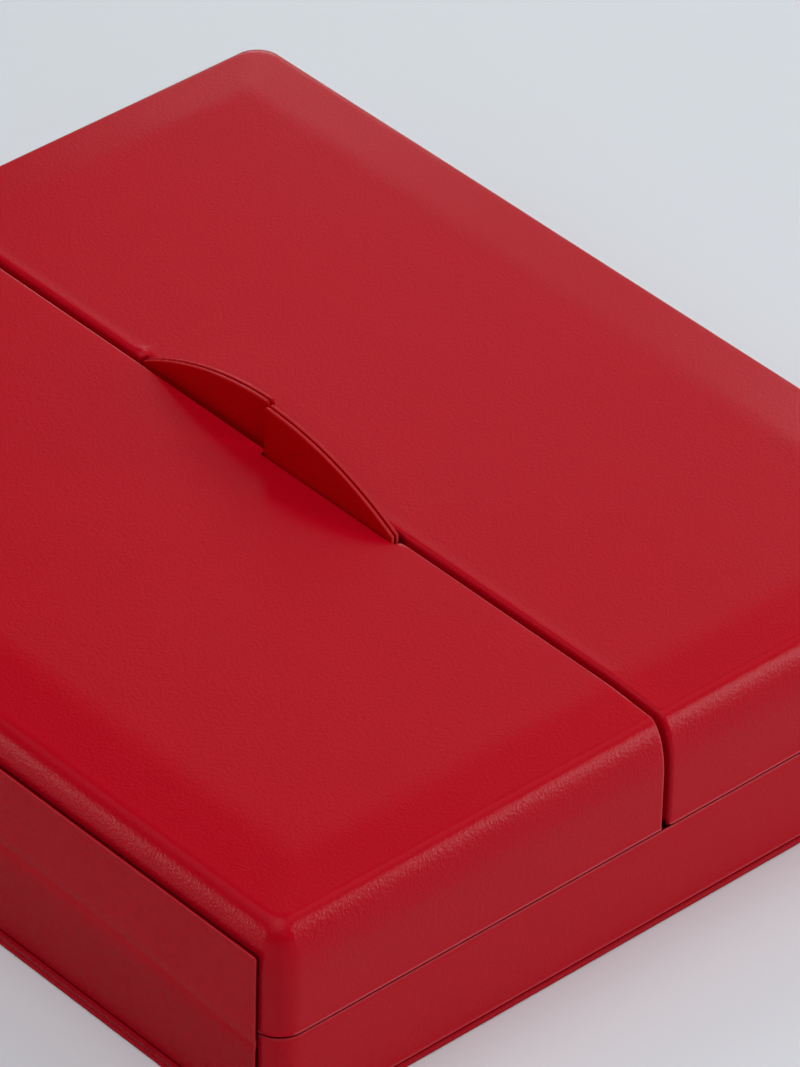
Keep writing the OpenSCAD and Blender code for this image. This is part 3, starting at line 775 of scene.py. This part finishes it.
def lid_pad(side, turned):
    """Padded satin lining under the lid's top board."""
    low, high = box_mm("lid_lining_pad_left")
    half_x = (high[0] - low[0]) / 2
    surface = pad_surface(half_x - 0.3, high[1] - 0.3, 3.4, 2.4, 3.0)
    place = placed(middle_of(low, high, high[2]), hanging=True)
    piece = surface.object("lid_pad_" + side, turned, place)
    inflate(piece, 1.5, lambda p: p[:, 2] > high[2] - 0.6)
    return piece


FIELD_LOW, FIELD_HIGH = box_mm("pad_field")
HOOKS_LOW, HOOKS_HIGH = box_mm("chain_hooks")
RIBBON_LOW, RIBBON_HIGH = box_mm("ribbon_pull")


def field_surface():
    """Velvet field of the necklace pad, before it swells."""
    half_x = FIELD_HIGH[0] - 0.4
    half_y = FIELD_HIGH[1] - 0.4
    return pad_surface(half_x, half_y, FIELD_HIGH[2] - FIELD_LOW[2] - 0.7, 2.5, 3.0)


DRAW_DEPTH = 0.9
STEM_REACH = 2.6
SLOT_REACH = 2.2


def draw_in(points):
    """Draws the velvet down round the hooks' stems and into the ribbon's slot."""
    moved = points.copy()
    top = points[:, 2] > FIELD_HIGH[2] - 2
    for x in (HOOKS_LOW[0] + HOOK_WIRE / 2, HOOKS_HIGH[0] - HOOK_WIRE / 2):
        away = np.hypot(points[:, 0] - x, points[:, 1] - HOOKS_LOW[1] - HOOK_WIRE / 2)
        moved[:, 2] -= top * DRAW_DEPTH * np.exp(-(away / STEM_REACH) ** 2)
    beside = np.maximum(np.abs(points[:, 0]) - RIBBON_HIGH[0], 0)
    away = np.hypot(beside, points[:, 1] - RIBBON_LOW[1])
    moved[:, 2] -= top * DRAW_DEPTH * np.exp(-(away / SLOT_REACH) ** 2)
    return moved


def neck_surface(half, high):
    """Domed disc, its shoulder rounded, drawn slightly small so that it can swell."""
    shoulder = 6.0
    crown = 2.6
    profile = [(0, 0), (half * 0.5, 0), (half - 0.5, 0), (half, 0.5)]
    profile += [(half - shoulder + x, high - crown - shoulder + z)
                for x, z, _, _ in arc((0, 0), (shoulder, shoulder), 0, 90, 10)]
    profile += [(r * (half - shoulder), high - crown * r ** 2) for r in (0.85, 0.7, 0.5, 0.3, 0.15, 0.0)]
    surface = Surface()
    around = np.radians(np.arange(0, 360, 3))
    surface.grid([[(r * math.cos(a), r * math.sin(a), z) for a in around] for r, z in profile], closed=True)
    return surface


def remeshed(piece, voxel):
    """Gives the piece an even mesh, as cloth needs it."""
    change = piece.modifiers.new("even", "REMESH")
    change.mode = "VOXEL"
    change.voxel_size = voxel * MM
    even = bpy.data.meshes.new_from_object(piece.evaluated_get(bpy.context.evaluated_depsgraph_get()))
    piece.modifiers.remove(change)
    piece.data = even
    for face in even.polygons:
        face.use_smooth = True


def neck_piece():
    """Raised round neck form, covered in velvet and swollen."""
    low, high = box_mm("neck_form")
    half = (high[0] - low[0]) / 2
    surface = neck_surface(half - 0.6, high[2] - low[2] - 0.7)
    piece = surface.object("neck_pad", move=placed(middle_of(low, high, low[2])))
    remeshed(piece, 2.5)
    inflate(piece, 1.0, lambda p: p[:, 2] < low[2] + 0.8)
    smooth = piece.modifiers.new("smooth", "SUBSURF")
    smooth.levels = 1
    smooth.render_levels = 1
    return piece


def ribbon_surface():
    """Loop of ribbon that comes up through its slot and goes down again on the field."""
    thick = 0.5
    near = RIBBON_LOW[1] + thick / 2
    far = RIBBON_HIGH[1] - thick / 2
    bow = (far - near) / 2
    top = RIBBON_HIGH[2] - bow - thick / 2
    path = [(near, z) for z in spread(FIELD_LOW[2] + 1, top, 1.2)]
    path += [(near + bow - bow * math.cos(a), top + bow * math.sin(a))
             for a in np.radians(range(15, 180, 15))]
    path += [(far, z) for z in (top, top - 0.5, FIELD_HIGH[2] - 0.6)]
    half = RIBBON_HIGH[0]
    crown = half - 0.2
    section = [(-half, 0), (-crown, 1), (0, 1), (crown, 1), (half, 0), (crown, -1), (0, -1), (-crown, -1)]
    rows = []
    for i, (y, z) in enumerate(path):
        before = path[max(i - 1, 0)]
        after = path[min(i + 1, len(path) - 1)]
        way = Vector((after[0] - before[0], after[1] - before[1])).normalized()
        rows.append([(x, y - way[1] * s * thick / 2, z + way[0] * s * thick / 2) for x, s in section])
    surface = Surface()
    surface.grid(rows, closed=True)
    surface.polygon(rows[0])
    surface.polygon(rows[-1])
    length = sum(math.dist(a, b) for a, b in zip(path, path[1:]))
    return surface, length


lid_pads = {"left": lid_pad("left", False), "right": lid_pad("right", True)}
lid_linings = {side: lid_lining_surface().object("lid_lining_" + side, side == "right")
               for side in lid_pads}
base_lining = base_lining_surface().object("base_velvet_lining")
field_place = placed(middle_of(FIELD_LOW, FIELD_HIGH, FIELD_LOW[2]))
field_pad = field_surface().object("velvet_field", move=field_place)
inflate(field_pad, 1.2, lambda p: p[:, 2] < FIELD_LOW[2] + 1.0)
field_pad.data.vertices.foreach_set("co", (draw_in(mesh_points(field_pad.data) / MM) * MM).ravel())
neck_pad = neck_piece()
ribbon_form, RIBBON_LENGTH = ribbon_surface()
ribbon = ribbon_form.object("ribbon_loop")
suede_high = box_mm("base_suede")[1]
suede_sheet = pad_surface(*suede_high, 0.2, 12.0).object("suede_sheet")


# Materials

def new_material(name):
    """An empty material, with its nodes, links and shader."""
    made = bpy.data.materials.new(name)
    made.use_nodes = True
    return made, made.node_tree.nodes, made.node_tree.links, made.node_tree.nodes["Principled BSDF"]


def texture(nodes, links, kind, scale, **settings):
    """A texture node fed with the object's own coordinates."""
    where = nodes.new("ShaderNodeTexCoord")
    made = nodes.new(kind)
    links.new(where.outputs["Object"], made.inputs["Vector"])
    made.inputs["Scale"].default_value = scale
    for name, value in settings.items():
        made.inputs[name].default_value = value
    return made


def feed(links, source, socket):
    """Gives a socket its source: another node's output, a number or a colour."""
    if isinstance(source, bpy.types.NodeSocket):
        links.new(source, socket)
    else:
        socket.default_value = (*source, 1) if isinstance(source, tuple) else source


def ramp(nodes, links, factor, low, high):
    """Maps a factor of 0 to 1 onto low to high. If either is a colour, so is the result."""
    made = nodes.new("ShaderNodeMix")
    made.data_type = "RGBA" if isinstance(high, tuple) else "FLOAT"
    first, second, result = (6, 7, 2) if made.data_type == "RGBA" else (2, 3, 0)
    feed(links, factor, made.inputs["Factor"])
    feed(links, low, made.inputs[first])
    feed(links, high, made.inputs[second])
    return made.outputs[result]


def multiply_add(nodes, links, first, second, third=0.0):
    """first times second, plus third; each is an output or a number."""
    made = nodes.new("ShaderNodeMath")
    made.operation = "MULTIPLY_ADD"
    for source, socket in zip((first, second, third), made.inputs):
        feed(links, source, socket)
    return made.outputs[0]


def bump(nodes, links, shader, sources, depth):
    """Feeds the shader's normal with the sum of height sources, each (output, share)."""
    total = 0.0
    for output, share in sources:
        total = multiply_add(nodes, links, output, share, total)
    made = nodes.new("ShaderNodeBump")
    made.inputs["Strength"].default_value = 1.0
    made.inputs["Distance"].default_value = depth
    links.new(total, made.inputs["Height"])
    links.new(made.outputs["Normal"], shader.inputs["Normal"])


# Colours of the painted highlight on edges and of the painted shade in gaps, grooves and undersides
PAINTED_HIGHLIGHT = (0.62, 0.10, 0.12)
PAINTED_SHADE = (0.03, 0.0, 0.001)


def leather(name, colour, deep, rough, gloss, grain):
    """Smooth dyed leather: faint patches of colour, fine pebbles and a low even gloss.
    Its points' attribute paints a highlight where above 0, or painted shade where below 0. grain is a depth
    in metres."""
    made, nodes, links, shader = new_material(name)
    shader.inputs["Specular IOR Level"].default_value = gloss
    patches = texture(nodes, links, "ShaderNodeTexNoise", 55.0, Detail=3.0)
    # painted highlight where the points' attribute is above 0, painted shade where it is below 0
    wear_and_painted_light = nodes.new("ShaderNodeAttribute")
    wear_and_painted_light.attribute_name = "wear_and_painted_light"
    dyed = ramp(nodes, links, patches.outputs["Fac"], colour, deep)
    painted_light_tone = ramp(nodes, links, wear_and_painted_light.outputs["Fac"], dyed, PAINTED_HIGHLIGHT)
    shade_share = multiply_add(nodes, links, wear_and_painted_light.outputs["Fac"], -1.0)
    links.new(ramp(nodes, links, shade_share, painted_light_tone, PAINTED_SHADE), shader.inputs["Base Color"])
    fine = texture(nodes, links, "ShaderNodeTexNoise", 900.0, Detail=4.0)
    uneven = ramp(nodes, links, fine.outputs["Fac"], rough - 0.05, rough + 0.05)
    links.new(uneven, shader.inputs["Roughness"])

    # the grain is flatter on faces that look up
    pebbles = texture(nodes, links, "ShaderNodeTexVoronoi", 1700.0)
    folds = texture(nodes, links, "ShaderNodeTexNoise", 1500.0, Detail=2.0, Roughness=0.5, Distortion=0.3)
    split = nodes.new("ShaderNodeSeparateXYZ")
    links.new(nodes.new("ShaderNodeTexCoord").outputs["Normal"], split.inputs["Vector"])
    upward = ramp(nodes, links, split.outputs["Z"], 0.85, 0.28)
    parts = [(multiply_add(nodes, links, output, upward), share)
             for output, share in ((pebbles.outputs["Distance"], 0.45), (folds.outputs["Fac"], 1.0))]
    bump(nodes, links, shader, parts, grain)
    return made


def pile(name, colour, deep, sheen):
    """Velvet or suede: a short soft pile that lightens towards grazing angles."""
    made, nodes, links, shader = new_material(name)
    strokes = texture(nodes, links, "ShaderNodeTexNoise", 35.0, Detail=2.0, Distortion=0.6)
    links.new(ramp(nodes, links, strokes.outputs["Fac"], colour, deep), shader.inputs["Base Color"])
    shader.inputs["Roughness"].default_value = 0.9
    shader.inputs["Sheen Weight"].default_value = sheen
    shader.inputs["Sheen Roughness"].default_value = 0.4
    nap = texture(nodes, links, "ShaderNodeTexNoise", 2600.0, Detail=3.0)
    bump(nodes, links, shader, ((nap.outputs["Fac"], 1.0), (strokes.outputs["Fac"], 1.5)), 0.0002)
    return made


def satin(name, colour, deep):
    """Closely woven satin with fine threads one way."""
    made, nodes, links, shader = new_material(name)
    cloud = texture(nodes, links, "ShaderNodeTexNoise", 30.0, Detail=2.0)
    links.new(ramp(nodes, links, cloud.outputs["Fac"], colour, deep), shader.inputs["Base Color"])
    shader.inputs["Roughness"].default_value = 0.38
    shader.inputs["Sheen Weight"].default_value = 0.15
    threads = texture(nodes, links, "ShaderNodeTexWave", 700.0, Distortion=0.4)
    across = texture(nodes, links, "ShaderNodeTexNoise", 1800.0, Detail=2.0)
    bump(nodes, links, shader, ((threads.outputs["Fac"], 1.0), (across.outputs["Fac"], 0.5)), 0.00004)
    return made


def wood(name, colour, deep):
    """Pale hardwood with its grain along Y."""
    made, nodes, links, shader = new_material(name)
    where = nodes.new("ShaderNodeTexCoord")
    stretch = nodes.new("ShaderNodeMapping")
    stretch.inputs["Scale"].default_value = (1, 0.06, 1)
    links.new(where.outputs["Object"], stretch.inputs["Vector"])
    grain = nodes.new("ShaderNodeTexNoise")
    grain.inputs["Scale"].default_value = 420.0
    grain.inputs["Detail"].default_value = 5.0
    links.new(stretch.outputs["Vector"], grain.inputs["Vector"])
    links.new(ramp(nodes, links, grain.outputs["Fac"], colour, deep), shader.inputs["Base Color"])
    links.new(ramp(nodes, links, grain.outputs["Fac"], 0.5, 0.7), shader.inputs["Roughness"])
    bump(nodes, links, shader, ((grain.outputs["Fac"], 1.0),), 0.00008)
    return made


def card(name, colour, deep):
    """Pressed card with a faint fibre."""
    made, nodes, links, shader = new_material(name)
    fibre = texture(nodes, links, "ShaderNodeTexNoise", 500.0, Detail=4.0)
    links.new(ramp(nodes, links, fibre.outputs["Fac"], colour, deep), shader.inputs["Base Color"])
    shader.inputs["Roughness"].default_value = 0.85
    bump(nodes, links, shader, ((fibre.outputs["Fac"], 1.0),), 0.00005)
    return made


def metal(name, colour, rough):
    """Polished metal with fine scuffs in its roughness."""
    made, nodes, links, shader = new_material(name)
    wear_and_painted_light = texture(nodes, links, "ShaderNodeTexNoise", 700.0, Detail=3.0)
    shader.inputs["Base Color"].default_value = (*colour, 1)
    shader.inputs["Metallic"].default_value = 1.0
    links.new(ramp(nodes, links, wear_and_painted_light.outputs["Fac"], rough, rough + 0.12), shader.inputs["Roughness"])
    return made


# name, colour, darker colour, roughness and, for leather, gloss and grain
LEATHER = leather("red_leather", (0.50, 0.001, 0.011), (0.48, 0.001, 0.010), 0.25, 0.10, 0.00012)
# a darker, less glossy copy of the red leather: painted shade for the board, which lies low in shade
SHADED_BOARD_LEATHER = leather("board_leather_shaded", (0.40, 0.001, 0.010), (0.38, 0.001, 0.009), 0.28, 0.05, 0.0001)
# a darker, less glossy copy of the red leather: painted shade for the hinge strips on the less lit side
SHADED_STRIP_LEATHER = leather("strip_leather_shaded", (0.46, 0.001, 0.009), (0.44, 0.001, 0.008), 0.27, 0.05, 0.00012)
# a darker, less blue copy of the red leather: painted shade for the tabs' shadowed faces
SHADED_TAB_LEATHER = leather("tab_leather_shaded", (0.46, 0.0004, 0.002), (0.44, 0.0004, 0.0015), 0.27, 0.04, 0.0001)
VELVET = pile("cream_velvet", (0.72, 0.64, 0.50), (0.62, 0.54, 0.41), 0.5)
SUEDE = pile("dark_suede", (0.10, 0.012, 0.016), (0.07, 0.008, 0.012), 0.3)
SATIN = satin("cream_satin", (0.78, 0.72, 0.60), (0.72, 0.66, 0.54))
WOOD = wood("pale_wood", (0.56, 0.38, 0.20), (0.42, 0.26, 0.13))
CARD = card("grey_card", (0.34, 0.32, 0.29), (0.26, 0.24, 0.22))
RED_CARD = card("red_card", (0.14, 0.002, 0.004), (0.09, 0.001, 0.003))
BRASS = metal("brass", (0.78, 0.55, 0.22), 0.18)
STEEL = metal("steel", (0.55, 0.55, 0.57), 0.3)

NODE_MATERIALS = (
    (WOOD, ("base_side_walls", "base_end_walls", "base_floor", "lid_side_wall_left", "lid_side_wall_right",
            "lid_end_walls_left", "lid_end_walls_right", "seam_rail_left", "seam_rail_right",
            "lid_top_board_left", "lid_top_board_right")),
    (CARD, ("pad_board", "lower_hinge_card_left", "lower_hinge_card_right",
            "upper_hinge_card_left", "upper_hinge_card_right")),
    (RED_CARD, ("tab_card_left", "tab_card_right")),
    (BRASS, ("chain_hooks",)),
    (STEEL, ("base_magnets", "lid_magnets_left", "lid_magnets_right")),
)
for material, names in NODE_MATERIALS:
    for name in names:
        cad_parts[name].data.materials.clear()
        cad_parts[name].data.materials.append(material)
for piece in (*lid_pads.values(), *lid_linings.values(), ribbon):
    piece.data.materials.append(SATIN)
for piece in (base_lining, field_pad, neck_pad):
    piece.data.materials.append(VELVET)
suede_sheet.data.materials.append(SUEDE)

lid_left.data.materials.append(LEATHER)
lid_right.data.materials.append(LEATHER)
for piece in (strip_left, strip_right):
    piece.data.materials.append(SHADED_STRIP_LEATHER)
base_skin.data.materials.append(LEATHER)
for piece in leaf_pieces.values():
    piece.data.materials.append(SHADED_TAB_LEATHER)
base_plinth.data.materials.append(SHADED_BOARD_LEATHER)

# Bodies

for side, lid, strip in (("left", lid_left, strip_left), ("right", lid_right, strip_right)):
    body = "lid_" + side
    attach(lid, body)
    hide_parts("lid_leather_" + side, "lid_padding_" + side)
    for node in ("tab_front_leaf_" + side, "tab_back_leaf_" + side):
        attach(leaf_pieces[node], body)
        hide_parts(node)
    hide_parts("lower_hinge_leather_" + side, "upper_hinge_leather_" + side)
    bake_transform(strip)
for piece, node in ((base_skin, "base_leather"), (base_plinth, "base_board")):
    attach(piece, "base")
    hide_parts(node)

for side in ("left", "right"):
    for piece, node in ((lid_pads[side], "lid_lining_pad_" + side),
                        (lid_linings[side], "lid_wall_lining_" + side)):
        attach(piece, "lid_" + side)
        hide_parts(node)
for piece, node, finish in ((base_lining, "base_lining", "velvet"), (field_pad, "pad_field", "velvet"),
                            (neck_pad, "neck_form", "velvet"), (ribbon, "ribbon_pull", "satin"),
                            (suede_sheet, "base_suede", "suede")):
    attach(piece, "base")
    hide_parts(node)

# Floor

FLOOR_HALF = 3000


def floor_material():
    """Plain pale floor."""
    made, _, _, shader = new_material("pale_floor")
    shader.inputs["Base Color"].default_value = (0.79, 0.84, 0.89, 1)
    shader.inputs["Roughness"].default_value = 0.6
    return made


floor_surface = Surface()
floor_surface.grid([[(x, y, 0.0) for x in (-FLOOR_HALF, FLOOR_HALF)] for y in (-FLOOR_HALF, FLOOR_HALF)])
floor = floor_surface.object("floor")
floor.data.materials.append(floor_material())

# Light

LIGHT_DISTANCE = 1.5

# name, azimuth from +X towards +Y, elevation, width and height in metres, power in watts
LIGHTS = (
    ("left_high", 178, 65, 2.2, 2.2, 11.7),
    ("front_high", 258, 54, 1.5, 1.5, 2.8),
    ("overhead", 170, 78, 1.0, 1.0, 2.4),
    ("right_high", 342, 54, 1.1, 1.1, 3.0),
    ("front_right", 307, 17, 0.34, 0.85, 6.8),
    ("back_right", 27, 29, 0.35, 0.35, 2.1),
    ("back", 44, 38, 0.5, 0.5, 0.5),
    ("back_low", 47, 16, 0.4, 0.4, 1.9),
    ("left_low", 144, 3.5, 0.35, 0.28, 1.9),
)


def area_light(name, azimuth, elevation, wide, tall, power):
    """Soft oval light that faces the case's middle."""
    data = bpy.data.lights.new(name, "AREA")
    data.shape = "ELLIPSE"
    data.size = wide
    data.size_y = tall
    data.energy = power
    lamp = bpy.data.objects.new(name, data)
    a = math.radians(azimuth)
    e = math.radians(elevation)
    way = Vector((math.cos(a) * math.cos(e), math.sin(a) * math.cos(e), math.sin(e)))
    lamp.location = way * LIGHT_DISTANCE
    lamp.rotation_euler = way.to_track_quat("Z", "Y").to_euler()
    bpy.context.scene.collection.objects.link(lamp)


for light in LIGHTS:
    area_light(*light)

world = bpy.data.worlds.new("soft_room")
world.use_nodes = True
bpy.context.scene.world = world
world.node_tree.nodes["Background"].inputs["Color"].default_value = (0.05, 0.05, 0.05, 1)
bpy.context.scene.view_settings.view_transform = "Standard"

# Camera

CAMERA_TARGET = Vector((0.0301162, -0.0093282, 0.020))
CAMERA_BACK = Vector((-0.5438, -0.5883, 0.5984)).normalized()
CAMERA_DISTANCE = 1.7591
CAMERA_ROLL = math.radians(1.408)
LENS = 363.57


def add_camera():
    """The photograph's camera, fitted to the edges of the case."""
    data = bpy.data.cameras.new("photo_camera")
    data.sensor_fit = "HORIZONTAL"
    data.sensor_width = 36
    data.lens = LENS
    data.clip_start = 0.05
    data.clip_end = 20
    camera = bpy.data.objects.new("photo_camera", data)
    right = (-CAMERA_BACK).cross(Vector((0, 0, 1))).normalized()
    up = right.cross(-CAMERA_BACK)
    turned_right = math.cos(CAMERA_ROLL) * right + math.sin(CAMERA_ROLL) * up
    turned_up = -math.sin(CAMERA_ROLL) * right + math.cos(CAMERA_ROLL) * up
    turn = Matrix((turned_right, turned_up, CAMERA_BACK)).transposed().to_4x4()
    camera.matrix_world = Matrix.Translation(CAMERA_TARGET + CAMERA_BACK * CAMERA_DISTANCE) @ turn
    bpy.context.scene.collection.objects.link(camera)
    bpy.context.scene.camera = camera


add_camera()
